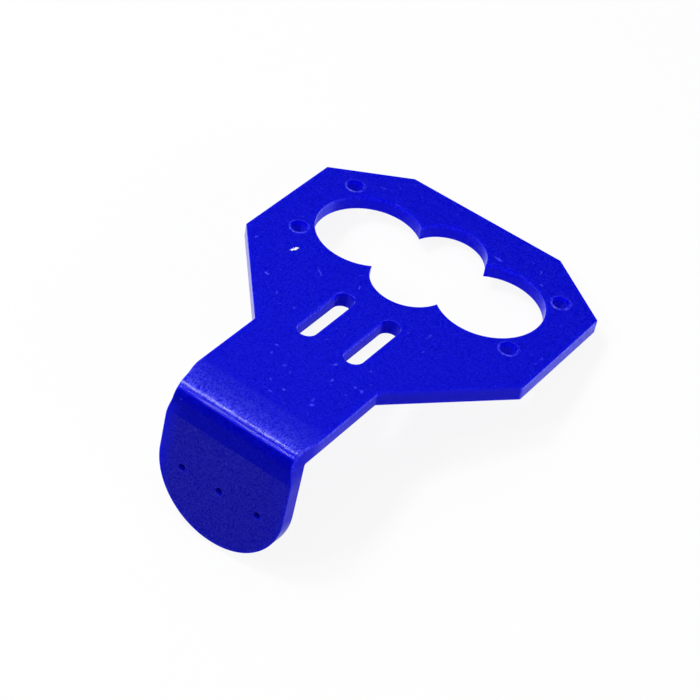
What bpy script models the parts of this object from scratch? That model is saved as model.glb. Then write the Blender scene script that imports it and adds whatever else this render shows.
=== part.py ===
"""Sensor bracket: one sheet of acrylic, laser cut to its outline and folded hot across its neck.

The head carries a two-eyed sensor board, and the rounded tab screws onto a servo's horn.
The sheet is drawn flat first: X runs across it, Y along it from the line where the fold begins,
and Z from its inner face (0) to its outer face. It is then folded down, and tipped the way it
lies on a table, on the tab's tip and the head's top edge.
"""

import math

import bmesh
import bpy
from mathutils import Matrix, Vector

MM = 0.001

# The sheet
SHEET_THICKNESS = 2.9 * MM
EDGE_BREAK = 0.12 * MM  # chamfer along every cut edge, where the beam has melted the corner

# What the head is cut for: a board with two round eyes and a screw hole by each corner
EYE_SPACING = 26.0 * MM
EYE_DIAMETER = 19.6 * MM
BRIDGE_WIDTH = 14.6 * MM  # round-ended cut-out that joins the eyes
BRIDGE_HEIGHT = 25.8 * MM
SCREW_SPACING_X = 44.7 * MM
SCREW_SPACING_Y = 17.0 * MM
SCREW_HOLE_DIAMETER = 3.2 * MM
SCREW_HOLE_CHAMFER = 0.3 * MM  # on the outer face only

# The head's outline around those cuts
SIDE_MARGIN = 7.05 * MM  # from the screw holes out to the side edges
TOP_MARGIN = 10.1 * MM  # from the upper screw holes up to the top edge
TOP_EDGE_WIDTH = 32.0 * MM
TOP_CORNER_HEIGHT = 9.2 * MM
SIDE_HEIGHT = 24.1 * MM
SHOULDER_HEIGHT = 18.8 * MM

# The neck, from the shoulders down to the fold, and its pair of slots
NECK_WIDTH = 25.6 * MM
NECK_LENGTH = 19.0 * MM
SLOT_WIDTH = 3.7 * MM
SLOT_LENGTH = 14.1 * MM
SLOT_SPACING = 9.75 * MM
SLOT_WEB = 4.1 * MM  # sheet left between the bridge cut-out and the slots

# The fold
FOLD_ANGLE = math.radians(86.5)
FOLD_INNER_RADIUS = 0.3 * MM
FOLD_NEUTRAL_SHARE = 0.5  # depth of the line that keeps its length, as a share of the sheet
FOLD_WAIST = 0.9 * MM  # how far each edge is drawn in, on the outside of the fold
FOLD_WAIST_REACH = 4.1 * MM  # how far the waist fades out beyond the fold

# The tab below the fold, which ends in a half circle as wide as the neck
TAB_LENGTH = 23.7 * MM
HORN_HOLE_DIAMETER = 1.3 * MM
HORN_HOLE_SPACING = 7.8 * MM
HORN_HOLE_COUNT = 3
HORN_ROW_DEPTH = 12.5 * MM  # from the end of the fold

# Fineness of the round stretches
EYE_FACETS = 96
BRIDGE_FACETS = 72
TAB_END_FACETS = 64
SLOT_FACETS = 32
SCREW_HOLE_FACETS = 32
HORN_HOLE_FACETS = 24
FOLD_STEPS = 16
WAIST_STEPS = 6

# Tool settings
CUT_OVERSHOOT = 1.0 * MM
SMOOTH_BELOW_ANGLE = math.radians(30.0)
MERGE_DISTANCE = 0.001 * MM
ROW_CLEARANCE = 0.001 * MM

# Worked out from the sizes above, in the flat sheet
HALF_HEAD = SCREW_SPACING_X / 2 + SIDE_MARGIN
HALF_NECK = NECK_WIDTH / 2
HALF_TOP = TOP_EDGE_WIDTH / 2
SIDE_BOTTOM_Y = NECK_LENGTH + SHOULDER_HEIGHT
SIDE_TOP_Y = SIDE_BOTTOM_Y + SIDE_HEIGHT
TOP_Y = SIDE_TOP_Y + TOP_CORNER_HEIGHT
EYE_LINE_Y = TOP_Y - TOP_MARGIN - SCREW_SPACING_Y / 2
SLOT_Y = EYE_LINE_Y - BRIDGE_HEIGHT / 2 - SLOT_WEB - SLOT_LENGTH / 2
FOLD_LENGTH = FOLD_ANGLE * (FOLD_INNER_RADIUS + FOLD_NEUTRAL_SHARE * SHEET_THICKNESS)
TAB_TIP_Y = -FOLD_LENGTH - TAB_LENGTH
HORN_ROW_Y = -FOLD_LENGTH - HORN_ROW_DEPTH


def clear_scene():
    for leftover in list(bpy.data.objects):
        bpy.data.objects.remove(leftover, do_unlink=True)


def blue_acrylic():
    material = bpy.data.materials.new("blue_acrylic")
    material.use_nodes = True
    shader = material.node_tree.nodes["Principled BSDF"]
    shader.inputs["Base Color"].default_value = (0.005, 0.004, 0.55, 1.0)
    shader.inputs["Roughness"].default_value = 0.18
    shader.inputs["Metallic"].default_value = 0.0
    return material


def arc(centre, radius, start, end, facets):
    """Points along an arc, both ends included."""
    angles = [start + (end - start) * i / facets for i in range(facets + 1)]
    return [(centre[0] + radius * math.cos(a), centre[1] + radius * math.sin(a)) for a in angles]


def circle(centre, diameter, facets):
    return arc(centre, diameter / 2, 0.0, math.tau, facets)[:-1]


def obround(centre, width, height, facets):
    """A rectangle whose two shorter sides are half circles, anticlockwise."""
    radius = min(width, height) / 2
    reach_x = width / 2 - radius
    reach_y = height / 2 - radius
    lean = 0.0 if height >= width else -math.pi / 2
    first = (centre[0] + reach_x, centre[1] + reach_y)
    second = (centre[0] - reach_x, centre[1] - reach_y)
    first_end = arc(first, radius, lean, lean + math.pi, facets // 2)
    second_end = arc(second, radius, lean + math.pi, lean + math.tau, facets // 2)
    return first_end + second_end


def bracket_outline():
    """The sheet's outer outline, anticlockwise from the left end of the tab's half circle."""
    tab_end = arc((0.0, TAB_TIP_Y + HALF_NECK), HALF_NECK, math.pi, math.tau, TAB_END_FACETS)
    right_side = [
        (HALF_NECK, NECK_LENGTH),
        (HALF_HEAD, SIDE_BOTTOM_Y),
        (HALF_HEAD, SIDE_TOP_Y),
        (HALF_TOP, TOP_Y),
    ]
    left_side = [(-x, y) for x, y in reversed(right_side)]
    return tab_end + right_side + left_side


def inset(outline, distance):
    """The outline with each side moved inwards by the distance, or outwards if it is negative."""
    corners = [Vector(point) for point in outline]
    moved = []
    for i, corner in enumerate(corners):
        arriving = (corner - corners[i - 1]).normalized()
        leaving = (corners[(i + 1) % len(corners)] - corner).normalized()
        mitre = Vector((-arriving.y - leaving.y, arriving.x + leaving.x))
        share = 1.0 + arriving.dot(leaving)
        moved.append(tuple(corner + mitre * distance / share))
    return moved


def lofted(name, outlines, heights):
    """A closed solid through outlines of equal point count, one at each height."""
    mesh = bmesh.new()
    rings = []
    for outline, height in zip(outlines, heights):
        rings.append([mesh.verts.new((x, y, height)) for x, y in outline])
    for lower, upper in zip(rings, rings[1:]):
        for i, corner in enumerate(lower):
            following = (i + 1) % len(lower)
            mesh.faces.new((corner, lower[following], upper[following], upper[i]))
    mesh.faces.new(reversed(rings[0]))
    mesh.faces.new(rings[-1])
    data = bpy.data.meshes.new(name)
    mesh.to_mesh(data)
    mesh.free()
    solid = bpy.data.objects.new(name, data)
    bpy.context.scene.collection.objects.link(solid)
    return solid


def blank_sheet():
    """The uncut sheet, with its edge broken on both faces."""
    outline = bracket_outline()
    broken = inset(outline, EDGE_BREAK)
    heights = (0.0, EDGE_BREAK, SHEET_THICKNESS - EDGE_BREAK, SHEET_THICKNESS)
    return lofted("flat_sheet", (broken, outline, outline, broken), heights)


def cutter(name, outline, outer_chamfer=EDGE_BREAK):
    """Cuts the outline through the sheet, and flares out past both faces to chamfer them."""
    heights = (-CUT_OVERSHOOT, EDGE_BREAK, SHEET_THICKNESS - outer_chamfer, SHEET_THICKNESS + CUT_OVERSHOOT)
    inner_flare = inset(outline, -(CUT_OVERSHOOT + EDGE_BREAK))
    outer_flare = inset(outline, -(CUT_OVERSHOOT + outer_chamfer))
    return lofted(name, (inner_flare, outline, outline, outer_flare), heights)


def head_cutters():
    eyes = [circle((side * EYE_SPACING / 2, EYE_LINE_Y), EYE_DIAMETER, EYE_FACETS) for side in (-1, 1)]
    bridge = obround((0.0, EYE_LINE_Y), BRIDGE_WIDTH, BRIDGE_HEIGHT, BRIDGE_FACETS)
    cutters = [cutter("eye_cutter", eye) for eye in eyes]
    cutters.append(cutter("bridge_cutter", bridge))
    for side_x in (-1, 1):
        for side_y in (-1, 1):
            x = side_x * SCREW_SPACING_X / 2
            y = EYE_LINE_Y + side_y * SCREW_SPACING_Y / 2
            hole = circle((x, y), SCREW_HOLE_DIAMETER, SCREW_HOLE_FACETS)
            cutters.append(cutter("screw_hole_cutter", hole, SCREW_HOLE_CHAMFER))
    return cutters


def neck_cutters():
    cutters = []
    for side in (-1, 1):
        slot = obround((side * SLOT_SPACING / 2, SLOT_Y), SLOT_WIDTH, SLOT_LENGTH, SLOT_FACETS)
        cutters.append(cutter("slot_cutter", slot))
    return cutters


def tab_cutters():
    cutters = []
    for i in range(HORN_HOLE_COUNT):
        x = (i - (HORN_HOLE_COUNT - 1) / 2) * HORN_HOLE_SPACING
        hole = circle((x, HORN_ROW_Y), HORN_HOLE_DIAMETER, HORN_HOLE_FACETS)
        cutters.append(cutter("horn_hole_cutter", hole))
    return cutters


def cut_sheet():
    """The mesh of the flat sheet with every hole cut."""
    sheet = blank_sheet()
    cutters = head_cutters() + neck_cutters() + tab_cutters()
    for tool in cutters:
        cut = sheet.modifiers.new("cut", "BOOLEAN")
        cut.operation = "DIFFERENCE"
        cut.solver = "EXACT"
        cut.object = tool
    graph = bpy.context.evaluated_depsgraph_get()
    flat_mesh = bpy.data.meshes.new_from_object(sheet.evaluated_get(graph))
    for used in [sheet] + cutters:
        bpy.data.objects.remove(used, do_unlink=True)
    return flat_mesh


def fold_rows():
    """Lines across the sheet where its facets have to bend."""
    rows = [-FOLD_LENGTH * i / FOLD_STEPS for i in range(FOLD_STEPS + 1)]
    for i in range(1, WAIST_STEPS + 1):
        step = FOLD_WAIST_REACH * i / WAIST_STEPS
        rows += [step, -FOLD_LENGTH - step]
    return rows


def waist_factor(point):
    """How much narrower the sheet is at a flat point: most at mid-fold, on the outer face."""
    reach = FOLD_LENGTH / 2 + FOLD_WAIST_REACH
    distance = abs(point.y + FOLD_LENGTH / 2)
    if distance >= reach:
        return 1.0
    fade = math.cos(math.pi / 2 * distance / reach) ** 2
    return 1.0 - FOLD_WAIST / HALF_NECK * fade * point.z / SHEET_THICKNESS


def folded(point):
    """Where a point of the flat sheet goes when the tab is folded down."""
    x = point.x * waist_factor(point)
    if point.y >= 0.0:
        return Vector((x, point.y, point.z))
    turned = min(-point.y, FOLD_LENGTH) / FOLD_LENGTH * FOLD_ANGLE
    beyond = max(-point.y - FOLD_LENGTH, 0.0)
    radius = FOLD_INNER_RADIUS + point.z
    y = -radius * math.sin(turned) - beyond * math.cos(turned)
    z = -FOLD_INNER_RADIUS + radius * math.cos(turned) - beyond * math.sin(turned)
    return Vector((x, y, z))


def rest_turn():
    """The turn about X that lays the tab's tip and the head's top edge level."""
    tip = folded(Vector((0.0, TAB_TIP_Y, EDGE_BREAK)))
    far_edge = folded(Vector((0.0, TOP_Y - EDGE_BREAK, 0.0)))
    slope = math.atan2(far_edge.z - tip.z, far_edge.y - tip.y)
    return Matrix.Rotation(-slope, 4, "X")


def rest_placement(mesh):
    """Where the folded sheet lies on a table, its box centred on the origin and touching Z = 0."""
    turn = rest_turn()
    turned = [turn @ vertex.co for vertex in mesh.vertices]
    lowest = min(point.z for point in turned)
    middle = (min(point.y for point in turned) + max(point.y for point in turned)) / 2
    return Matrix.Translation((0.0, -middle, -lowest)) @ turn


def folded_sheet():
    """The mesh of the cut sheet after folding, in the axes of the head plate."""
    mesh = bmesh.new()
    mesh.from_mesh(cut_sheet())
    bmesh.ops.remove_doubles(mesh, verts=mesh.verts, dist=MERGE_DISTANCE)
    for row in fold_rows():
        everything = mesh.verts[:] + mesh.edges[:] + mesh.faces[:]
        bmesh.ops.bisect_plane(
            mesh, geom=everything, dist=ROW_CLEARANCE, plane_co=(0.0, row, 0.0), plane_no=(0.0, 1.0, 0.0)
        )
    for vertex in mesh.verts:
        vertex.co = folded(vertex.co)
    bmesh.ops.triangulate(mesh, faces=mesh.faces)
    data = bpy.data.meshes.new("sensor_bracket")
    mesh.to_mesh(data)
    mesh.free()
    data.shade_smooth()
    data.set_sharp_from_angle(angle=SMOOTH_BELOW_ANGLE)
    return data


def sensor_bracket():
    bracket = bpy.data.objects.new("sensor_bracket", folded_sheet())
    bracket.data.materials.append(blue_acrylic())
    bracket.matrix_world = rest_placement(bracket.data)
    bpy.context.scene.collection.objects.link(bracket)
    return bracket


clear_scene()
sensor_bracket()
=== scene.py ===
"""Looks for the sensor bracket: one sheet of blue acrylic, laser cut and folded across its neck.

The CAD solid is replaced with a finer mesh of the same sheet. It is drawn flat (X across, Y along
it from the line where the fold begins, Z from its inner face to its outer face), cut, folded, and
laid where the CAD solid lies. Each vertex keeps its flat place, in millimetres, in the attribute
"sheet", and the materials take their detail from there.
"""

import math

import bmesh
import bpy
from mathutils import Matrix, Vector


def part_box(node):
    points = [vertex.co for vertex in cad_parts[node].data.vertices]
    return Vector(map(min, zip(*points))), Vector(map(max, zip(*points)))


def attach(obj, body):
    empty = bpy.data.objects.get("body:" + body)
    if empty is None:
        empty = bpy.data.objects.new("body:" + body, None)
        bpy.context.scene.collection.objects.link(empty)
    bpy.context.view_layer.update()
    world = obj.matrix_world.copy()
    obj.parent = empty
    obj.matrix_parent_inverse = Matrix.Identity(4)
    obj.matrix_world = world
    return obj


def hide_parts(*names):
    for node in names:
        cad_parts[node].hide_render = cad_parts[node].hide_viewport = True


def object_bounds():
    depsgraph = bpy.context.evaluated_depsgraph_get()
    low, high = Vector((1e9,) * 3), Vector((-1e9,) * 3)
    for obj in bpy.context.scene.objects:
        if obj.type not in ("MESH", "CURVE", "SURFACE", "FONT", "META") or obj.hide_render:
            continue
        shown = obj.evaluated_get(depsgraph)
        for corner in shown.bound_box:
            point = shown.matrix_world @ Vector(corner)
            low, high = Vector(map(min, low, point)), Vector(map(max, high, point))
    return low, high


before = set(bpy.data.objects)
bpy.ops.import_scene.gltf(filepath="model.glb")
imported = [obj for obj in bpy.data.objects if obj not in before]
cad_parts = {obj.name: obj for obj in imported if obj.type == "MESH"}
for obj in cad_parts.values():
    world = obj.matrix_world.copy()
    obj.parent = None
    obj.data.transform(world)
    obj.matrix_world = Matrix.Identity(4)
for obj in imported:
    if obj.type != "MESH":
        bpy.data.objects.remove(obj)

NODE = "sensor_bracket"
MM = 0.001

# The sheet and its cuts, in millimetres, as the CAD has them
SHEET_THICKNESS = 2.9
EDGE_ROUND = 0.12  # radius along every cut edge
EYE_SPACING = 26.0
EYE_DIAMETER = 19.6
BRIDGE_WIDTH = 14.6
BRIDGE_HEIGHT = 25.8
SCREW_SPACING_X = 44.7
SCREW_SPACING_Y = 17.0
SCREW_HOLE_DIAMETER = 3.2
SIDE_MARGIN = 7.05
TOP_MARGIN = 10.1
TOP_EDGE_WIDTH = 32.0
TOP_CORNER_HEIGHT = 9.2
SIDE_HEIGHT = 24.1
SHOULDER_HEIGHT = 18.8
NECK_WIDTH = 25.6
NECK_LENGTH = 19.0
SLOT_WIDTH = 3.7
SLOT_LENGTH = 14.1
SLOT_SPACING = 9.75
SLOT_WEB = 4.1
FOLD_ANGLE = math.radians(86.5)
FOLD_INNER_RADIUS = 0.3
FOLD_NEUTRAL_SHARE = 0.5
FOLD_WAIST = 0.9
FOLD_WAIST_REACH = 4.1
TAB_LENGTH = 23.7
HORN_HOLE_DIAMETER = 1.3
HORN_HOLE_SPACING = 7.8
HORN_HOLE_COUNT = 3
HORN_ROW_DEPTH = 12.5

# The melted lips on the outer face, in millimetres
SCREW_LIP = (0.44, 0.16)  # width and height, round each screw hole
SLOT_LIP = (0.3, 0.04)  # the same round each slot
LIP_ROUND = 0.06  # radius where the lip meets the wall of the hole
LIP_ROOT = 0.3  # how deep in the sheet it starts, so that the two join
LIP_PROFILE = (  # shares of its width and height, from its foot to its crest
    (1.0, 0.0),
    (0.9, 0.07),
    (0.79, 0.25),
    (0.68, 0.5),
    (0.57, 0.75),
    (0.46, 0.93),
    (0.36, 1.0),
)

# Fineness of the mesh
EYE_FACETS = 160
BRIDGE_FACETS = 120
TAB_END_FACETS = 128
SLOT_FACETS = 48
SCREW_HOLE_FACETS = 64
HORN_HOLE_FACETS = 40
FOLD_STEPS = 48
WAIST_STEPS = 14
RIM_STEPS = 5
# past these steps the outer face is less glossy, and its blue is painted darker as painted shade
DULL_AND_SHADED_STEPS = 29  # of the fold's steps, before the face turns duller
CUT_OVERSHOOT = 1.0
MERGE_DISTANCE = 0.001
ROW_CLEARANCE = 0.001
SMOOTH_BELOW_ANGLE = math.radians(30.0)
FLAT_FACE_COSINE = 0.35  # a facet of the flat sheet whose normal has more Z takes a face's material
LEVEL_FACE_COSINE = 0.9999  # with more than this it is level, and a level face keeps a sharp outline
EVEN_SHADING_WEIGHT = 100

# Worked out from the sizes above, in the flat sheet
HALF_HEAD = SCREW_SPACING_X / 2 + SIDE_MARGIN
HALF_NECK = NECK_WIDTH / 2
HALF_TOP = TOP_EDGE_WIDTH / 2
SIDE_BOTTOM_Y = NECK_LENGTH + SHOULDER_HEIGHT
SIDE_TOP_Y = SIDE_BOTTOM_Y + SIDE_HEIGHT
TOP_Y = SIDE_TOP_Y + TOP_CORNER_HEIGHT
EYE_LINE_Y = TOP_Y - TOP_MARGIN - SCREW_SPACING_Y / 2
SLOT_Y = EYE_LINE_Y - BRIDGE_HEIGHT / 2 - SLOT_WEB - SLOT_LENGTH / 2
SLOT_TOP_Y = SLOT_Y + SLOT_LENGTH / 2
FOLD_LENGTH = FOLD_ANGLE * (FOLD_INNER_RADIUS + FOLD_NEUTRAL_SHARE * SHEET_THICKNESS)
TAB_TIP_Y = -FOLD_LENGTH - TAB_LENGTH
HORN_ROW_Y = -FOLD_LENGTH - HORN_ROW_DEPTH
DULL_AND_SHADED_BELOW_Y = -FOLD_LENGTH * DULL_AND_SHADED_STEPS / FOLD_STEPS  # on a line of the mesh

# The sheet's surfaces, in the order of its materials
FACE, OUTER_EDGE, OPENING, SLOT, DULL_AND_SHADED_FACE, BORE = range(6)

# The camera: its angles, and its distance and aim in metres from the middle of the CAD box
CAMERA_AZIMUTH = math.radians(40.19)
CAMERA_ELEVATION = math.radians(56.01)
CAMERA_ROLL = math.radians(3.92)
CAMERA_DISTANCE = 0.3812
CAMERA_AIM = Vector((0.00077, -0.00146, -0.00104))
CAMERA_LENS = 115.9
SENSOR_WIDTH = 36.0

# The studio
FLOOR_RADIUS = 1.2
FLOOR_SWEEP_RADIUS = 1.5
FLOOR_RIM_HEIGHT = 0.30
FLOOR_FACETS = 96
FLOOR_SWEEP_STEPS = 12
FLOOR_COLOUR = (0.8, 0.8, 0.8, 1.0)
FLOOR_GLOW_SHARE = 0.9  # of what the camera sees: the rest is lit, and keeps the shadow
FLOOR_MIRRORED_SHARE = 0.25  # the same for what reflections see
ROOM_AXIS = Vector((-0.30, 0.35, 0.88)).normalized()  # towards its brightest part
ROOM_DIM = 0.12
ROOM_BRIGHT = 1.5
ROOM_RAMP = (0.70, 1.0)  # cosines to the axis, where the dim part ends and at the brightest
LAMPS = (  # name, place from the object's middle, width, depth, radiance
    ("overhead_softbox", (-0.165, -0.005, 0.42), 0.105, 0.074, 44.0),
    ("side_softbox", (0.5, -0.05, 0.21), 0.4, 0.22, 4.2),
    ("front_softbox", (-0.175, -0.2345, 0.42), 0.098, 0.105, 21.0),
)

# Acrylic. The glow stands for the light that the sheet carries to its cut walls.
ACRYLIC_IOR = 1.49
FACE_SPECULAR = 0.05
DULL_SPECULAR = 0.012
EDGE_SPECULAR = 0.08
OPENING_SPECULAR = 0.06
EDGE_GLOW = 0.06
OPENING_GLOW = 0.21
SLOT_GLOW = 0.13
EDGE_SHEEN = 0.95
OPENING_SHEEN = 0.62
SHEEN_ROUGHNESS = 0.25
LIGHT_REACH = (0.1, 0.1, 1.0)
LIGHT_REACH_SCALE = 2.0 * MM

# Its colours, as linear light
GLOW_BLUE = (0.0, 0.0, 1.0, 1.0)
BLUE_DEEP = (0.0002, 0.0006, 0.44, 1.0)
BLUE_LIGHT = (0.0065, 0.0095, 0.64, 1.0)
# the fold's lower part and the tab: the face's blue painted darker, as painted shade where they turn away
# from the lamps
SHADED_TAB_DEEP = (0.0001, 0.0004, 0.32, 1.0)
SHADED_TAB_LIGHT = (0.0025, 0.004, 0.50, 1.0)
# the pale blue of the painted highlights: by the fold, and on some cut walls
PAINTED_HIGHLIGHT_BLUE = (0.075, 0.082, 0.80, 1.0)
# painted light: a brighter blue on the band just past the fold's middle
FOLD_PAINTED_LIGHT_BLUE = (0.008, 0.008, 1.0, 1.0)
LOWER_TAB_GREY = (0.014, 0.015, 0.40, 1.0)
# painted light on the tab's sides
RIM_PAINTED_LIGHT_BLUE = (0.006, 0.008, 0.62, 1.0)
# the pale blue of the scuffs, also used for the painted highlight on the lips
SCUFF_AND_HIGHLIGHT_BLUE = (0.06, 0.065, 0.95, 1.0)
FLECK_WHITE = (0.85, 0.87, 0.95, 1.0)
EDGE_BLUE = (0.0, 0.0, 0.48, 1.0)
EDGE_PALE = (0.004, 0.005, 0.82, 1.0)
OPENING_BLUE = (0.0, 0.0, 0.34, 1.0)
OPENING_PALE = (0.003, 0.004, 0.60, 1.0)
SLOT_BLUE = (0.0, 0.0, 0.46, 1.0)
SLOT_PALE = (0.006, 0.007, 0.88, 1.0)
BORE_BLUE = (0.003, 0.003, 0.46, 1.0)
BORE_PALE = (0.005, 0.005, 0.55, 1.0)

# A noise is (scale per millimetre, detail, roughness). A ramp is (start, end, value before, value
# after), or (start, end) from 0 to 1. Along a ramp runs X, Y or Z of the flat sheet, a noise, or
# another mask. Heights and distances are in millimetres.

# Both faces: grain and clouds, pits, and the soft waves that the heat left by the fold
GRAIN_NOISE = (2.4, 2.0, 0.8)
CLOUD_NOISE = (0.7, 2.0)
GRAIN_SHARE = 0.85
TINT_RAMP = (0.3, 0.7)
PIT_NOISE = (1.1, 2.0)
PIT_RAMP = (0.70, 0.74, 0.0, 0.3)
FACE_ROUGHNESS = (0.3, 0.7, 0.06, 0.10)
WAVE_STRETCH = (0.35, 1.0, 1.0)
WAVE_NOISE = (1.0, 1.0)
WAVES_ABOVE_FOLD = (3.0, 0.0)
WAVES_BELOW_FOLD = (-4.2, -2.2)
WAVE_HEIGHT = 0.042
WAVE_GRAIN_HEIGHT = 0.004
GRAIN_HEIGHT = 0.002
SCUFF_DEPTH = 0.04

# Marks: their outline, how ragged it is, how pale they are, and how much rougher they make the face
MARK_OUTLINE = (1.25, 0.5)
RAGGED_SCALE = 2.4
RAGGED_SHIFT = (1.1, 1.1, 0.0)
SCUFF_PALENESS = 0.75
SCUFF_ROUGHER = 0.3
FLECK_ROUGHER = 0.4
LOWER_TAB_ROUGHER = 0.12

# Painted highlight on the melted lips: pale on each screw hole's side towards the fold
LIP_NEAR_SIDE = (0.3, -1.2, 0.1, 0.7)
LIP_NOISE = (1.4, 1.0)
LIP_RAGGED = (0.35, 0.65, 0.3, 1.4)
LIP_RISE = (SHEET_THICKNESS + 0.02, SHEET_THICKNESS + 0.08)

# Painted highlight: the face is painted paler in steps up towards the fold
HIGHLIGHT_STEPS = (
    (5.3, 3.9, 0.0, 0.08),
    (2.9, 1.2, 0.0, 0.10),
    (0.3, -0.6, 0.0, 0.20),
    (-0.3, -0.75, 0.0, 0.27),
)
HIGHLIGHT_END = (-1.25, -0.9)
HIGHLIGHT_LEFT_END = (-9.5, -12.5, 1.0, 1.5)
HIGHLIGHT_NOISE = (3.6, 1.0)
HIGHLIGHT_GRAIN = (0.28, 0.72, 0.05, 1.95)

# Past it a band is painted a brighter blue, as painted light where the face turns away from the lamps,
# and the lower part of the tab is greyer and rougher
FOLD_LIGHT_START = (-0.95, -1.2, 0.0, 0.26)
FOLD_LIGHT_END = (-1.62, -1.5)
LOWER_TAB_START = (-5.4, -5.7)
LOWER_TAB_GRAIN = (0.33, 0.67, 0.0, 1.2)

# Painted light on the tab's sides, as if light came in there
LEFT_RIM = (3.5 - HALF_NECK, -HALF_NECK, 0.0, 0.8)
RIGHT_RIM = (HALF_NECK - 5.0, HALF_NECK, 0.0, 0.15)
RIM_START = (-2.0, -5.0)

# Cut walls: fine lines down them, and the frost, in soft bands along them
STRIA_STRETCH = (1.0, 1.0, 0.15)
STRIA_NOISE = (3.5, 3.0, 0.6)
STRIA_HEIGHT = 0.008
BAND_NOISE = (0.5,)
BAND_WANDER = 2.5
BAND_ANGLE_PER_MM = 4.33
BAND_START_ANGLE = 10.3
BAND_FROST = 0.25
FROST_BY_DEPTH = (0.0, SHEET_THICKNESS, 0.15, 0.75)
FROST_BY_STRIA = (0.3, 0.7, 0.5, 1.2)
FROST_AT_RIM = (SHEET_THICKNESS - 0.2, SHEET_THICKNESS, 1.0, 0.3)
FROST_ROUND_FOLD = (0.0, -6.0, 1.0, 0.4)
CUT_ROUGHNESS = (0.0, 1.0, 0.12, 0.30)

# Painted shade on the cut walls, where the frost is taken out to darken them: at the slots' upper ends,
# which for other walls is moved past the sheet's end, and on the right shoulder
SLOT_END_SHADE = (SLOT_TOP_Y - SLOT_WIDTH / 2 - 0.2, SLOT_TOP_Y - 0.9)
NO_END_SHADE = (TOP_Y + 1.0, TOP_Y + 2.0)
SHOULDER_ACROSS = (HALF_NECK + 0.2, HALF_NECK + 0.6)
SHOULDER_ALONG = (SIDE_BOTTOM_Y - 0.1, SIDE_BOTTOM_Y - 0.3)
SHOULDER_SHADE_FROST = 0.3

# Painted highlight on the cut walls: the fold's upper corners, the head's sides, and the left eye's left
# end
CORNER_ABOVE = (1.8, 0.4)
CORNER_BELOW = (-1.6, -0.6)
CORNER_DEPTH = (SHEET_THICKNESS - 0.9, SHEET_THICKNESS - 0.2)
CORNER_STRIA = (0.3, 0.7, 0.4, 1.4)
SIDE_ACROSS = (HALF_HEAD - 0.3, HALF_HEAD - 0.1, 0.0, 0.5)
SIDE_STRIA = (0.3, 0.7, 0.6, 1.4)
EYE_END = (0.3 - EYE_SPACING / 2 - EYE_DIAMETER / 2, EYE_LINE_Y - 1.4, SHEET_THICKNESS / 2)
EYE_END_REACH = (5.5, 2.5, 0.0, 0.5)

# Handling marks on the outer face: middle, length, width, turn in degrees, strength
FLECK = (-19.2, 38.5, 1.9, 0.55, 68.0, 1.0)
SCUFFS = (
    (7.8, 63.0, 1.9, 0.5, -13.0, 0.85),
    (-12.4, 36.8, 2.6, 0.35, -34.0, 0.6),
    (-18.5, 29.8, 0.9, 0.6, 0.0, 1.0),
    (3.6, 19.3, 1.2, 0.3, 60.0, 1.0),
    (6.75, 8.8, 1.0, 0.5, 51.0, 0.75),
    (6.2, 9.9, 1.1, 0.35, -81.0, 0.6),
    (10.8, 17.2, 1.2, 0.5, -25.0, 0.8),
    (9.4, 17.3, 0.8, 0.4, -41.0, 0.5),
    (9.3, 14.8, 0.7, 0.35, 12.0, 0.6),
    (-6.5, 34.7, 1.4, 0.5, 75.0, 0.6),
    (-5.0, 38.3, 1.0, 0.4, -75.0, 1.0),
    (-4.1, 35.6, 0.7, 0.5, 44.0, 0.4),
    (10.9, 36.6, 1.6, 0.4, 88.0, 0.4),
    (12.4, 32.7, 0.6, 0.35, 90.0, 0.8),
    (1.3, 8.5, 0.6, 0.5, 20.0, 1.0),
    (5.6, 16.1, 0.9, 0.35, -76.0, 0.8),
    (-6.15, 16.3, 0.9, 0.35, -15.0, 0.9),
    (-5.5, 14.3, 0.6, 0.4, -59.0, 0.5),
    (-18.4, 64.5, 1.4, 0.4, 17.0, 0.45),
    (-13.7, 62.2, 1.1, 0.5, 0.0, 0.25),
    (-2.1, 13.2, 1.0, 0.6, 59.0, 0.4),
    (-0.5, 12.5, 0.7, 0.45, 35.0, 0.55),
    (-26.0, 36.2, 0.9, 0.4, 85.0, 0.8),
    (0.0, 6.6, 0.8, 0.4, 12.0, 0.7),
    (-1.7, 8.9, 0.9, 0.35, -27.0, 0.7),
    (8.9, 22.2, 0.7, 0.3, -63.0, 0.55),
    (15.3, 65.6, 0.9, 0.3, -72.0, 0.6),
    (17.2, 62.6, 0.6, 0.45, 0.0, 0.5),
    (-0.95, 23.5, 1.0, 0.4, 48.0, 0.4),
    (-14.2, 26.9, 0.6, 0.4, -9.0, 0.6),
    (-9.7, 26.0, 0.6, 0.4, 20.0, 0.5),
    (27.8, 46.1, 1.1, 0.6, 82.0, 0.3),
)


def rounding(radius):
    """(inset, depth) pairs down a quarter round, from the face to the wall."""
    quarter = [math.pi / 2 * i / RIM_STEPS for i in range(RIM_STEPS + 1)]
    return [(radius * (1.0 - math.sin(a)), radius * (1.0 - math.cos(a))) for a in quarter]


def arc(centre, radius, start, end, facets):
    """Points along an arc, both ends included."""
    angles = [start + (end - start) * i / facets for i in range(facets + 1)]
    return [(centre[0] + radius * math.cos(a), centre[1] + radius * math.sin(a)) for a in angles]


def circle(centre, diameter, facets):
    return arc(centre, diameter / 2, 0.0, math.tau, facets)[:-1]


def obround(centre, width, height, facets):
    """A rectangle whose lower and upper sides are half circles, anticlockwise."""
    radius = width / 2
    reach = height / 2 - radius
    upper = arc((centre[0], centre[1] + reach), radius, 0.0, math.pi, facets // 2)
    lower = arc((centre[0], centre[1] - reach), radius, math.pi, math.tau, facets // 2)
    return upper + lower


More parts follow.
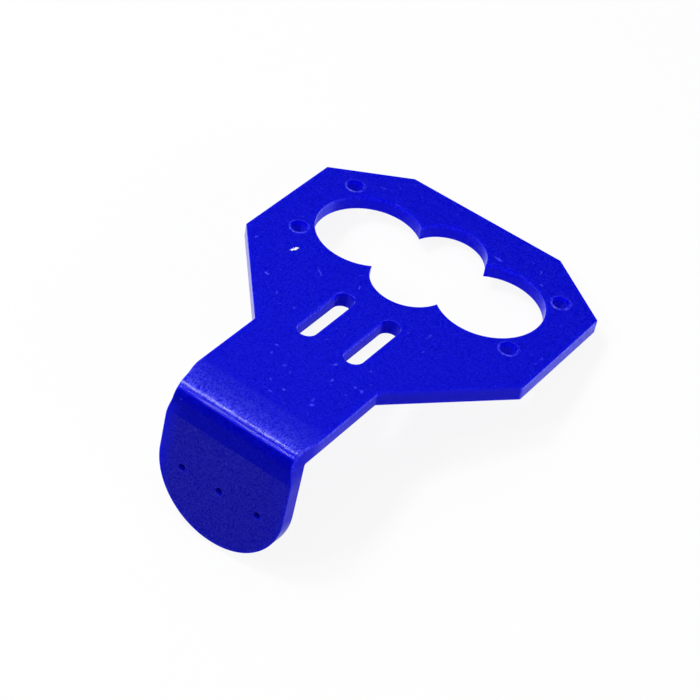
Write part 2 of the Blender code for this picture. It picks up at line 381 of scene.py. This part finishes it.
def bracket_outline():
    """The sheet's outer outline, anticlockwise from the left end of the tab's half circle."""
    tab_end = arc((0.0, TAB_TIP_Y + HALF_NECK), HALF_NECK, math.pi, math.tau, TAB_END_FACETS)
    right_side = [
        (HALF_NECK, NECK_LENGTH),
        (HALF_HEAD, SIDE_BOTTOM_Y),
        (HALF_HEAD, SIDE_TOP_Y),
        (HALF_TOP, TOP_Y),
    ]
    left_side = [(-x, y) for x, y in reversed(right_side)]
    return tab_end + right_side + left_side


def inset(outline, distance):
    """The outline with each side moved inwards by the distance, or outwards if it is negative."""
    corners = [Vector(point) for point in outline]
    moved = []
    for i, corner in enumerate(corners):
        arriving = (corner - corners[i - 1]).normalized()
        leaving = (corners[(i + 1) % len(corners)] - corner).normalized()
        mitre = Vector((-arriving.y - leaving.y, arriving.x + leaving.x))
        share = 1.0 + arriving.dot(leaving)
        moved.append(tuple(corner + mitre * distance / share))
    return moved


def lofted(name, outlines, heights):
    """A closed solid through outlines of equal point count, one at each height."""
    mesh = bmesh.new()
    rings = []
    for outline, height in zip(outlines, heights):
        rings.append([mesh.verts.new((x, y, height)) for x, y in outline])
    for lower, upper in zip(rings, rings[1:]):
        for i, corner in enumerate(lower):
            following = (i + 1) % len(lower)
            mesh.faces.new((corner, lower[following], upper[following], upper[i]))
    mesh.faces.new(reversed(rings[0]))
    mesh.faces.new(rings[-1])
    data = bpy.data.meshes.new(name)
    mesh.to_mesh(data)
    mesh.free()
    solid = bpy.data.objects.new(name, data)
    bpy.context.scene.collection.objects.link(solid)
    return solid


def blank_sheet():
    """The uncut sheet, its edge rounded over on both faces."""
    outline = bracket_outline()
    lower = rounding(EDGE_ROUND)
    upper = [(side, SHEET_THICKNESS - depth) for side, depth in reversed(lower)]
    rings = [inset(outline, side) for side, _ in lower + upper]
    return lofted("flat_sheet", rings, [height for _, height in lower + upper])


def melted_lip(outline, lip):
    """A low mound round a hole, to be joined to the sheet before the hole is cut."""
    width, height = lip
    rings = [inset(outline, -width)]
    heights = [SHEET_THICKNESS - LIP_ROOT]
    for share, rise in LIP_PROFILE:
        rings.append(inset(outline, -width * share))
        heights.append(SHEET_THICKNESS + height * rise)
    return lofted("melted_lip", rings, heights)


def cutter(name, outline, outer_round=EDGE_ROUND, top=SHEET_THICKNESS):
    """Cuts the outline through the sheet, and rounds over both of its rims."""
    inner = rounding(EDGE_ROUND)
    outer = [(side, top - depth) for side, depth in reversed(rounding(outer_round))]
    below = (inner[0][0], -CUT_OVERSHOOT)
    above = (outer[-1][0], top + CUT_OVERSHOOT)
    profile = [below] + inner + outer + [above]
    rings = [inset(outline, -side) for side, _ in profile]
    return lofted(name, rings, [height for _, height in profile])


def plain_cuts():
    """The openings whose rims are clean."""
    openings = []
    for side in (-1, 1):
        openings.append(circle((side * EYE_SPACING / 2, EYE_LINE_Y), EYE_DIAMETER, EYE_FACETS))
    openings.append(obround((0.0, EYE_LINE_Y), BRIDGE_WIDTH, BRIDGE_HEIGHT, BRIDGE_FACETS))
    for i in range(HORN_HOLE_COUNT):
        x = (i - (HORN_HOLE_COUNT - 1) / 2) * HORN_HOLE_SPACING
        openings.append(circle((x, HORN_ROW_Y), HORN_HOLE_DIAMETER, HORN_HOLE_FACETS))
    return openings


def lipped_cuts():
    """The openings the laser left a melted lip round, each with its lip."""
    openings = []
    for side_x in (-1, 1):
        for side_y in (-1, 1):
            centre = (side_x * SCREW_SPACING_X / 2, EYE_LINE_Y + side_y * SCREW_SPACING_Y / 2)
            openings.append((circle(centre, SCREW_HOLE_DIAMETER, SCREW_HOLE_FACETS), SCREW_LIP))
        centre = (side_x * SLOT_SPACING / 2, SLOT_Y)
        openings.append((obround(centre, SLOT_WIDTH, SLOT_LENGTH, SLOT_FACETS), SLOT_LIP))
    return openings


def cut_sheet():
    """The mesh of the flat sheet with every hole cut."""
    sheet = blank_sheet()
    lips = [melted_lip(opening, lip) for opening, lip in lipped_cuts()]
    cutters = [cutter("cutter", opening) for opening in plain_cuts()]
    for opening, lip in lipped_cuts():
        cutters.append(cutter("lipped_cutter", opening, LIP_ROUND, SHEET_THICKNESS + lip[1]))
    for tool in lips + cutters:
        change = sheet.modifiers.new(tool.name, "BOOLEAN")
        change.operation = "UNION" if tool in lips else "DIFFERENCE"
        change.solver = "EXACT"
        change.object = tool
    graph = bpy.context.evaluated_depsgraph_get()
    flat_mesh = bpy.data.meshes.new_from_object(sheet.evaluated_get(graph))
    for used in [sheet] + lips + cutters:
        bpy.data.objects.remove(used, do_unlink=True)
    return flat_mesh


def fold_rows():
    """Lines across the sheet where its facets have to bend."""
    rows = [-FOLD_LENGTH * i / FOLD_STEPS for i in range(FOLD_STEPS + 1)]
    for i in range(1, WAIST_STEPS + 1):
        step = FOLD_WAIST_REACH * i / WAIST_STEPS
        rows += [step, -FOLD_LENGTH - step]
    return rows


def waist_factor(point):
    """How much narrower the sheet is at a flat point: most at mid-fold, on the outer face."""
    reach = FOLD_LENGTH / 2 + FOLD_WAIST_REACH
    distance = abs(point.y + FOLD_LENGTH / 2)
    if distance >= reach:
        return 1.0
    fade = math.cos(math.pi / 2 * distance / reach) ** 2
    return 1.0 - FOLD_WAIST / HALF_NECK * fade * point.z / SHEET_THICKNESS


def folded(point):
    """Where a point of the flat sheet goes when the tab is folded down."""
    x = point.x * waist_factor(point)
    if point.y >= 0.0:
        return Vector((x, point.y, point.z))
    turned = min(-point.y, FOLD_LENGTH) / FOLD_LENGTH * FOLD_ANGLE
    beyond = max(-point.y - FOLD_LENGTH, 0.0)
    radius = FOLD_INNER_RADIUS + point.z
    y = -radius * math.sin(turned) - beyond * math.cos(turned)
    z = -FOLD_INNER_RADIUS + radius * math.cos(turned) - beyond * math.sin(turned)
    return Vector((x, y, z))


def rest_turn():
    """The turn about X that lays the tab's tip and the head's top edge level."""
    tip = folded(Vector((0.0, TAB_TIP_Y, EDGE_ROUND)))
    far_edge = folded(Vector((0.0, TOP_Y - EDGE_ROUND, 0.0)))
    slope = math.atan2(far_edge.z - tip.z, far_edge.y - tip.y)
    return Matrix.Rotation(-slope, 4, "X")


def surface_kind(face):
    """Which material a facet of the flat sheet takes: its place in the list of surfaces."""
    centre = face.calc_center_median()
    if abs(face.normal.z) > FLAT_FACE_COSINE:
        # below this line the outer face takes the less glossy material, whose darker blue is painted shade
        dull_and_shaded = face.normal.z > 0.0 and centre.y < DULL_AND_SHADED_BELOW_Y
        return DULL_AND_SHADED_FACE if dull_and_shaded else FACE
    if on_outer_edge(centre):
        return OUTER_EDGE
    if centre.y < 0.0:
        return BORE
    return SLOT if centre.y < SLOT_TOP_Y + EDGE_ROUND else OPENING


def on_outer_edge(point):
    """Whether a point of a cut wall belongs to the outer outline, rather than to an opening."""
    outline = [Vector(corner) for corner in bracket_outline()]
    flat_point = point.xy
    for start, end in zip(outline[-1:] + outline, outline):
        side = end - start
        share = min(max((flat_point - start).dot(side) / side.length_squared, 0.0), 1.0)
        if (flat_point - start - side * share).length < 2 * EDGE_ROUND:
            return True
    return False


def folded_sheet():
    """The cut sheet after folding, still in millimetres, with its flat place kept as "sheet"."""
    mesh = bmesh.new()
    mesh.from_mesh(cut_sheet())
    bmesh.ops.remove_doubles(mesh, verts=mesh.verts, dist=MERGE_DISTANCE)
    for row in fold_rows():
        everything = mesh.verts[:] + mesh.edges[:] + mesh.faces[:]
        bmesh.ops.bisect_plane(
            mesh, geom=everything, dist=ROW_CLEARANCE, plane_co=(0.0, row, 0.0), plane_no=(0.0, 1.0, 0.0)
        )
    bmesh.ops.triangulate(mesh, faces=mesh.faces)
    mesh.normal_update()
    for face in mesh.faces:
        face.material_index = surface_kind(face)
        face.smooth = True
    level_faces = {face for face in mesh.faces if abs(face.normal.z) > LEVEL_FACE_COSINE}
    place = mesh.verts.layers.float_vector.new("sheet")
    for vertex in mesh.verts:
        vertex[place] = vertex.co
        vertex.co = folded(vertex.co)
    mesh.normal_update()
    for edge in mesh.edges:
        level_sides = [face in level_faces for face in edge.link_faces]
        edge.smooth = len(set(level_sides)) == 1 and edge.calc_face_angle() < SMOOTH_BELOW_ANGLE
    return mesh


def lay_down(mesh):
    """Tips the sheet into its resting pose, in metres, on the CAD solid's box."""
    low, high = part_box(NODE)
    mesh.transform(Matrix.Scale(MM, 4) @ rest_turn())
    lowest = min(vertex.co.z for vertex in mesh.verts)
    front = min(vertex.co.y for vertex in mesh.verts)
    back = max(vertex.co.y for vertex in mesh.verts)
    middle_x = (low[0] + high[0]) / 2
    middle_y = (low[1] + high[1]) / 2
    mesh.transform(Matrix.Translation((middle_x, middle_y - (front + back) / 2, low[2] - lowest)))


def bracket(materials):
    """The visible piece: the folded sheet with its materials, evenly shaded."""
    mesh = folded_sheet()
    lay_down(mesh)
    data = bpy.data.meshes.new("bracket_sheet")
    mesh.to_mesh(data)
    mesh.free()
    for material in materials:
        data.materials.append(material)
    piece = bpy.data.objects.new("bracket_sheet", data)
    bpy.context.scene.collection.objects.link(piece)
    even = piece.modifiers.new("even_shading", "WEIGHTED_NORMAL")
    even.mode = "FACE_AREA"
    even.weight = EVEN_SHADING_WEIGHT
    even.keep_sharp = True
    return piece


class Nodes:
    """Short ways to add nodes to one node tree."""

    def __init__(self, tree):
        self.tree = tree
        self.tree.nodes.clear()

    def add(self, kind, **settings):
        node = self.tree.nodes.new(kind)
        for name, value in settings.items():
            setattr(node, name, value)
        return node

    def put(self, socket, value):
        """Links a socket to an output, or sets its value."""
        if isinstance(value, bpy.types.NodeSocket):
            self.tree.links.new(value, socket)
        else:
            socket.default_value = value

    def math(self, operation, first, second=0.0):
        node = self.add("ShaderNodeMath", operation=operation)
        self.put(node.inputs[0], first)
        self.put(node.inputs[1], second)
        return node.outputs[0]

    def product(self, first, *others):
        for other in others:
            first = self.math("MULTIPLY", first, other)
        return first

    def vector_math(self, operation, first, second=(0.0, 0.0, 0.0)):
        node = self.add("ShaderNodeVectorMath", operation=operation)
        self.put(node.inputs[0], first)
        self.put(node.inputs[1], second)
        return node.outputs["Value" if operation in ("LENGTH", "DOT_PRODUCT") else "Vector"]

    def ramp(self, value, start, end, low=0.0, high=1.0):
        """Rises smoothly from low to high as the value goes from start to end."""
        node = self.add("ShaderNodeMapRange", interpolation_type="SMOOTHSTEP")
        for name, number in (
            ("Value", value),
            ("From Min", start),
            ("From Max", end),
            ("To Min", low),
            ("To Max", high),
        ):
            self.put(node.inputs[name], number)
        return node.outputs["Result"]

    def noise(self, vector, scale, detail=2.0, roughness=0.5):
        node = self.add("ShaderNodeTexNoise")
        for name, value in (
            ("Vector", vector),
            ("Scale", scale),
            ("Detail", detail),
            ("Roughness", roughness),
        ):
            self.put(node.inputs[name], value)
        return node.outputs["Fac"]

    def mix(self, factor, first, second):
        node = self.add("ShaderNodeMix", data_type="RGBA")
        for number, value in ((0, factor), (6, first), (7, second)):  # the sockets for colours
            self.put(node.inputs[number], value)
        return node.outputs[2]

    def bump(self, height, strength, distance):
        node = self.add("ShaderNodeBump")
        for name, value in (("Height", height), ("Strength", strength), ("Distance", distance)):
            self.put(node.inputs[name], value)
        return node.outputs["Normal"]


def sheet_place(nodes):
    """The point's place in the flat sheet, in millimetres, and its X, Y and Z."""
    place = nodes.add("ShaderNodeAttribute", attribute_name="sheet").outputs["Vector"]
    split = nodes.add("ShaderNodeSeparateXYZ")
    nodes.put(split.inputs[0], place)
    return place, split.outputs["X"], split.outputs["Y"], split.outputs["Z"]


def acrylic(name, specular, glow=0.0, sheen=0.0):
    """A material of glossy acrylic that lets some light in: its nodes and its shader."""
    material = bpy.data.materials.new(name)
    material.use_nodes = True
    nodes = Nodes(material.node_tree)
    shader = nodes.add("ShaderNodeBsdfPrincipled")
    for socket, value in (
        ("IOR", ACRYLIC_IOR),
        ("Specular IOR Level", specular),
        ("Subsurface Weight", 1.0),
        ("Subsurface Radius", LIGHT_REACH),
        ("Subsurface Scale", LIGHT_REACH_SCALE),
        ("Emission Color", GLOW_BLUE),
        ("Emission Strength", glow),
        ("Sheen Weight", sheen),
        ("Sheen Roughness", SHEEN_ROUGHNESS),
    ):
        nodes.put(shader.inputs[socket], value)
    output = nodes.add("ShaderNodeOutputMaterial")
    nodes.put(output.inputs["Surface"], shader.outputs["BSDF"])
    return material, nodes, shader


def dress(nodes, shader, colour, roughness, relief):
    """Gives the shader its colour, its roughness, and its relief in millimetres."""
    nodes.put(shader.inputs["Base Color"], colour)
    nodes.put(shader.inputs["Roughness"], roughness)
    nodes.put(shader.inputs["Normal"], nodes.bump(relief, 1.0, MM))


def mark_mask(nodes, place, mark):
    """1 inside one small mark on the outer face, fading to 0 at its outline."""
    x, y, length, width, angle, strength = mark
    centred = nodes.vector_math("SUBTRACT", place, (x, y, SHEET_THICKNESS))
    turned = nodes.add("ShaderNodeVectorRotate", rotation_type="Z_AXIS")
    nodes.put(turned.inputs["Vector"], centred)
    nodes.put(turned.inputs["Angle"], -math.radians(angle))
    scaled = nodes.vector_math("MULTIPLY", turned.outputs[0], (2.0 / length, 2.0 / width, 1.0))
    return nodes.ramp(nodes.vector_math("LENGTH", scaled), *MARK_OUTLINE, 0.0, strength)


def scuffs_mask(nodes, place):
    mask = mark_mask(nodes, place, SCUFFS[0])
    for scuff in SCUFFS[1:]:
        mask = nodes.math("MAXIMUM", mask, mark_mask(nodes, place, scuff))
    return mask


def ragged_place(nodes, place):
    """The place shifted about a little, which makes the outlines of marks ragged."""
    texture = nodes.add("ShaderNodeTexNoise")
    nodes.put(texture.inputs["Vector"], place)
    nodes.put(texture.inputs["Scale"], RAGGED_SCALE)
    shift = nodes.vector_math("SUBTRACT", texture.outputs["Color"], (0.5, 0.5, 0.5))
    return nodes.vector_math("ADD", place, nodes.vector_math("MULTIPLY", shift, RAGGED_SHIFT))


def lip_painted_highlight(nodes, place, depth):
    """Painted highlight on the melted lips: how pale they are painted, most on the side of each screw hole
    towards the fold.
    """
    centred = nodes.add("ShaderNodeSeparateXYZ")
    nodes.put(centred.inputs[0], nodes.vector_math("SUBTRACT", place, (0.0, EYE_LINE_Y, 0.0)))
    row = nodes.math("MULTIPLY", nodes.math("SIGN", centred.outputs["Y"]), SCREW_SPACING_Y / 2)
    beyond = nodes.math("SUBTRACT", centred.outputs["Y"], row)
    ragged = nodes.ramp(nodes.noise(place, *LIP_NOISE), *LIP_RAGGED)
    return nodes.product(nodes.ramp(beyond, *LIP_NEAR_SIDE), ragged, nodes.ramp(depth, *LIP_RISE))


def fold_painted_highlight(nodes, place, across, along):
    """Painted highlight: how much paler the face is painted, in steps up to the fold, gone halfway round
    it.
    """
    bloom = nodes.ramp(along, *HIGHLIGHT_STEPS[0])
    for step in HIGHLIGHT_STEPS[1:]:
        bloom = nodes.math("ADD", bloom, nodes.ramp(along, *step))
    return nodes.product(
        bloom,
        nodes.ramp(along, *HIGHLIGHT_END),
        nodes.ramp(across, *HIGHLIGHT_LEFT_END),
        nodes.ramp(nodes.noise(place, *HIGHLIGHT_NOISE), *HIGHLIGHT_GRAIN),
    )


def painted_rim_light(nodes, across, along):
    """Painted light: how much paler the sides of the tab are painted, most at the left one, which faces
    the lamps.
    """
    rims = nodes.math("MAXIMUM", nodes.ramp(across, *LEFT_RIM), nodes.ramp(across, *RIGHT_RIM))
    return nodes.product(rims, nodes.ramp(along, *RIM_START))


def face_relief(nodes, place, along, grain, scuffs):
    """The face's relief: grain all over, soft waves round the fold, and the scuffs sunk in it."""
    softened = nodes.product(nodes.ramp(along, *WAVES_ABOVE_FOLD), nodes.ramp(along, *WAVES_BELOW_FOLD))
    wave = nodes.noise(nodes.vector_math("MULTIPLY", place, WAVE_STRETCH), *WAVE_NOISE)
    ripple = nodes.math(
        "ADD", nodes.product(wave, WAVE_HEIGHT), nodes.product(grain, WAVE_GRAIN_HEIGHT)
    )
    relief = nodes.math("ADD", nodes.product(grain, GRAIN_HEIGHT), nodes.product(softened, ripple))
    return nodes.math("SUBTRACT", relief, nodes.product(scuffs, SCUFF_DEPTH))


def face_material(name, specular, deep, light):
    """A face of the sheet, with what its making and handling left on it, and with painted highlights and
    painted light by the fold, on the lips and at the tab's sides.
    """
    material, nodes, shader = acrylic(name, specular)
    place, across, along, depth = sheet_place(nodes)
    grain = nodes.noise(place, *GRAIN_NOISE)
    clouds = nodes.noise(place, *CLOUD_NOISE)
    tint = nodes.math(
        "ADD", nodes.product(grain, GRAIN_SHARE), nodes.product(clouds, 1.0 - GRAIN_SHARE)
    )
    # painted light: the band past the fold's middle, painted brighter where it turns away from the lamps
    fold_light = nodes.product(nodes.ramp(along, *FOLD_LIGHT_START), nodes.ramp(along, *FOLD_LIGHT_END))
    # the lower part of the tab: greyer and rougher
    lower_tab = nodes.product(nodes.ramp(along, *LOWER_TAB_START), nodes.ramp(tint, *LOWER_TAB_GRAIN))
    marks = ragged_place(nodes, place)
    pits = nodes.ramp(nodes.noise(place, *PIT_NOISE), *PIT_RAMP)
    scuffs = nodes.math("MAXIMUM", scuffs_mask(nodes, marks), pits)
    fleck = mark_mask(nodes, marks, FLECK)
    colour = nodes.mix(nodes.ramp(tint, *TINT_RAMP), deep, light)
    for mask, blue in (
        (lip_painted_highlight(nodes, place, depth), SCUFF_AND_HIGHLIGHT_BLUE),
        (fold_painted_highlight(nodes, place, across, along), PAINTED_HIGHLIGHT_BLUE),
        (fold_light, FOLD_PAINTED_LIGHT_BLUE),
        (lower_tab, LOWER_TAB_GREY),
        (painted_rim_light(nodes, across, along), RIM_PAINTED_LIGHT_BLUE),
        (nodes.product(scuffs, SCUFF_PALENESS), SCUFF_AND_HIGHLIGHT_BLUE),
        (fleck, FLECK_WHITE),
    ):
        colour = nodes.mix(mask, colour, blue)
    roughness = nodes.ramp(clouds, *FACE_ROUGHNESS)
    for mask, rise in ((lower_tab, LOWER_TAB_ROUGHER), (scuffs, SCUFF_ROUGHER), (fleck, FLECK_ROUGHER)):
        roughness = nodes.math("ADD", roughness, nodes.product(mask, rise))
    dress(nodes, shader, colour, roughness, face_relief(nodes, place, along, grain, scuffs))
    return material


def wall_frost(nodes, place, across, along, depth, stria, end_shade):
    """How frosted a cut wall is, with less frost as painted shade at the slots' upper ends and on the
    right shoulder.
    """
    wander = nodes.product(nodes.noise(place, *BAND_NOISE), BAND_WANDER)
    phase = nodes.math("ADD", nodes.product(depth, BAND_ANGLE_PER_MM), wander)
    wave = nodes.math("SINE", nodes.math("SUBTRACT", phase, BAND_START_ANGLE))
    bands = nodes.product(nodes.ramp(wave, -1.0, 1.0), BAND_FROST)
    shoulder = nodes.product(
        nodes.ramp(across, *SHOULDER_ACROSS), nodes.ramp(along, *SHOULDER_ALONG)
    )
    return nodes.product(
        nodes.math("ADD", bands, nodes.ramp(depth, *FROST_BY_DEPTH)),
        nodes.ramp(stria, *FROST_BY_STRIA),
        nodes.ramp(depth, *FROST_AT_RIM),
        nodes.ramp(along, *FROST_ROUND_FOLD),
        # painted shade: less frost darkens the slots' upper ends and the right shoulder
        nodes.ramp(along, *end_shade, 1.0, 0.0),
        nodes.ramp(shoulder, 0.0, 1.0, 1.0, SHOULDER_SHADE_FROST),
    )


def wall_painted_highlight(nodes, place, across, along, depth, stria):
    """Painted highlight: where a cut wall is painted as pale as the face by the fold."""
    corner = nodes.product(
        nodes.ramp(along, *CORNER_ABOVE),
        nodes.ramp(along, *CORNER_BELOW),
        nodes.ramp(depth, *CORNER_DEPTH),
        nodes.ramp(stria, *CORNER_STRIA),
    )
    side = nodes.product(
        nodes.ramp(nodes.math("ABSOLUTE", across), *SIDE_ACROSS), nodes.ramp(stria, *SIDE_STRIA)
    )
    eye_end = nodes.vector_math("LENGTH", nodes.vector_math("SUBTRACT", place, EYE_END))
    side_or_eye = nodes.math("MAXIMUM", side, nodes.ramp(eye_end, *EYE_END_REACH))
    return nodes.math("MAXIMUM", corner, side_or_eye)


def cut_material(name, specular, glow, sheen, pale, dark, end_shade=NO_END_SHADE):
    """A laser-cut wall: fine lines down through the sheet, and soft bands of frost along it, with painted
    highlight and painted shade on some walls.
    """
    material, nodes, shader = acrylic(name, specular, glow, sheen)
    place, across, along, depth = sheet_place(nodes)
    stria = nodes.noise(nodes.vector_math("MULTIPLY", place, STRIA_STRETCH), *STRIA_NOISE)
    frost = wall_frost(nodes, place, across, along, depth, stria, end_shade)
    # painted highlight: some walls are mixed towards the pale blue of the fold's painted highlight
    painted_highlight = wall_painted_highlight(nodes, place, across, along, depth, stria)
    colour = nodes.mix(painted_highlight, nodes.mix(frost, dark, pale), PAINTED_HIGHLIGHT_BLUE)
    relief = nodes.product(stria, STRIA_HEIGHT)
    dress(nodes, shader, colour, nodes.ramp(frost, *CUT_ROUGHNESS), relief)
    return material


def floor_material():
    """A pale floor: the camera and mirrors see it white, and it still keeps the shadow."""
    material = bpy.data.materials.new("pale_floor")
    material.use_nodes = True
    nodes = Nodes(material.node_tree)
    path = nodes.add("ShaderNodeLightPath")
    mirrored = nodes.math("MAXIMUM", path.outputs["Is Glossy Ray"], path.outputs["Is Transmission Ray"])
    seen = nodes.math("MULTIPLY", path.outputs["Is Camera Ray"], FLOOR_GLOW_SHARE)
    seen = nodes.math("MAXIMUM", seen, nodes.math("MULTIPLY", mirrored, FLOOR_MIRRORED_SHARE))
    lit = nodes.add("ShaderNodeBsdfDiffuse")
    nodes.put(lit.inputs["Color"], FLOOR_COLOUR)
    white = nodes.add("ShaderNodeEmission")
    nodes.put(white.inputs["Strength"], 1.0)
    blend = nodes.add("ShaderNodeMixShader")
    for number, value in enumerate((seen, lit.outputs[0], white.outputs[0])):
        nodes.put(blend.inputs[number], value)
    output = nodes.add("ShaderNodeOutputMaterial")
    nodes.put(output.inputs["Surface"], blend.outputs[0])
    return material


def studio_floor(centre, level):
    """A round floor whose rim sweeps up out of sight, like a paper roll behind a still life."""
    sweep = FLOOR_SWEEP_RADIUS - FLOOR_RADIUS
    profile = [(FLOOR_RADIUS, 0.0)]
    for i in range(1, FLOOR_SWEEP_STEPS + 1):
        angle = math.pi / 2 * i / FLOOR_SWEEP_STEPS
        rise = FLOOR_RIM_HEIGHT * (1.0 - math.cos(angle))
        profile.append((FLOOR_RADIUS + sweep * math.sin(angle), rise))
    mesh = bmesh.new()
    rings = []
    for radius, height in profile:
        spots = circle((centre.x, centre.y), 2 * radius, FLOOR_FACETS)
        rings.append([mesh.verts.new((x, y, level + height)) for x, y in spots])
    mesh.faces.new(rings[0])
    for inner, outer in zip(rings, rings[1:]):
        for i, corner in enumerate(inner):
            following = (i + 1) % len(inner)
            mesh.faces.new((corner, outer[i], outer[following], inner[following]))
    data = bpy.data.meshes.new("studio_floor")
    mesh.to_mesh(data)
    mesh.free()
    data.shade_smooth()
    data.materials.append(floor_material())
    floor = bpy.data.objects.new("studio_floor", data)
    bpy.context.scene.collection.objects.link(floor)


def softbox(name, centre, place, width, depth, radiance):
    """A flat lamp of even brightness that faces the object."""
    offset = Vector(place)
    light = bpy.data.lights.new(name, "AREA")
    light.shape = "RECTANGLE"
    light.size = width
    light.size_y = depth
    light.energy = radiance * math.pi * width * depth
    lamp = bpy.data.objects.new(name, light)
    lamp.location = centre + offset
    lamp.rotation_euler = (-offset).to_track_quat("-Z", "Y").to_euler()
    bpy.context.scene.collection.objects.link(lamp)


def room_light():
    """A dim room that grows brighter towards the ceiling, a little behind the object."""
    world = bpy.data.worlds.new("studio_room")
    world.use_nodes = True
    nodes = Nodes(world.node_tree)
    direction = nodes.add("ShaderNodeTexCoord").outputs["Generated"]
    height = nodes.vector_math("DOT_PRODUCT", direction, tuple(ROOM_AXIS))
    background = nodes.add("ShaderNodeBackground")
    nodes.put(background.inputs["Strength"], nodes.ramp(height, *ROOM_RAMP, ROOM_DIM, ROOM_BRIGHT))
    output = nodes.add("ShaderNodeOutputWorld")
    nodes.put(output.inputs["Surface"], background.outputs[0])
    bpy.context.scene.world = world


def camera(centre):
    """The camera, at the photo's angle."""
    data = bpy.data.cameras.new("camera")
    data.lens = CAMERA_LENS
    data.sensor_width = SENSOR_WIDTH
    across = math.cos(CAMERA_ELEVATION)
    back = Vector(
        (math.sin(CAMERA_AZIMUTH) * across, -math.cos(CAMERA_AZIMUTH) * across, math.sin(CAMERA_ELEVATION))
    )
    viewer = bpy.data.objects.new("camera", data)
    turn = (-back).to_track_quat("-Z", "Y").to_matrix().to_4x4()
    roll = Matrix.Rotation(-CAMERA_ROLL, 4, "Z")
    place = Matrix.Translation(centre + CAMERA_AIM + back * CAMERA_DISTANCE)
    viewer.matrix_world = place @ turn @ roll
    bpy.context.scene.collection.objects.link(viewer)
    bpy.context.scene.camera = viewer


cad_low, cad_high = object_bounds()
middle = (cad_low + cad_high) / 2

camera(middle)
room_light()
for lamp_name, *lamp_facts in LAMPS:
    softbox(lamp_name, middle, *lamp_facts)
studio_floor(middle, cad_low.z)

surfaces = [
    face_material("blue_acrylic_face", FACE_SPECULAR, BLUE_DEEP, BLUE_LIGHT),
    cut_material("blue_acrylic_outer_edge", EDGE_SPECULAR, EDGE_GLOW, EDGE_SHEEN, EDGE_PALE, EDGE_BLUE),
    cut_material(
        "blue_acrylic_opening",
        OPENING_SPECULAR,
        OPENING_GLOW,
        OPENING_SHEEN,
        OPENING_PALE,
        OPENING_BLUE,
    ),
    cut_material(
        "blue_acrylic_slot",
        OPENING_SPECULAR,
        SLOT_GLOW,
        OPENING_SHEEN,
        SLOT_PALE,
        SLOT_BLUE,
        SLOT_END_SHADE,
    ),
    # the tab's outer face: less glossy, and its blue painted darker as painted shade
    face_material("blue_acrylic_dull_face_painted_shade", DULL_SPECULAR, SHADED_TAB_DEEP, SHADED_TAB_LIGHT),
    cut_material("blue_acrylic_bore", OPENING_SPECULAR, 0.0, 0.0, BORE_PALE, BORE_BLUE),
]
sheet = bracket(surfaces)
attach(sheet, "root")
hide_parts(NODE)

bpy.context.scene.view_settings.view_transform = "Standard"
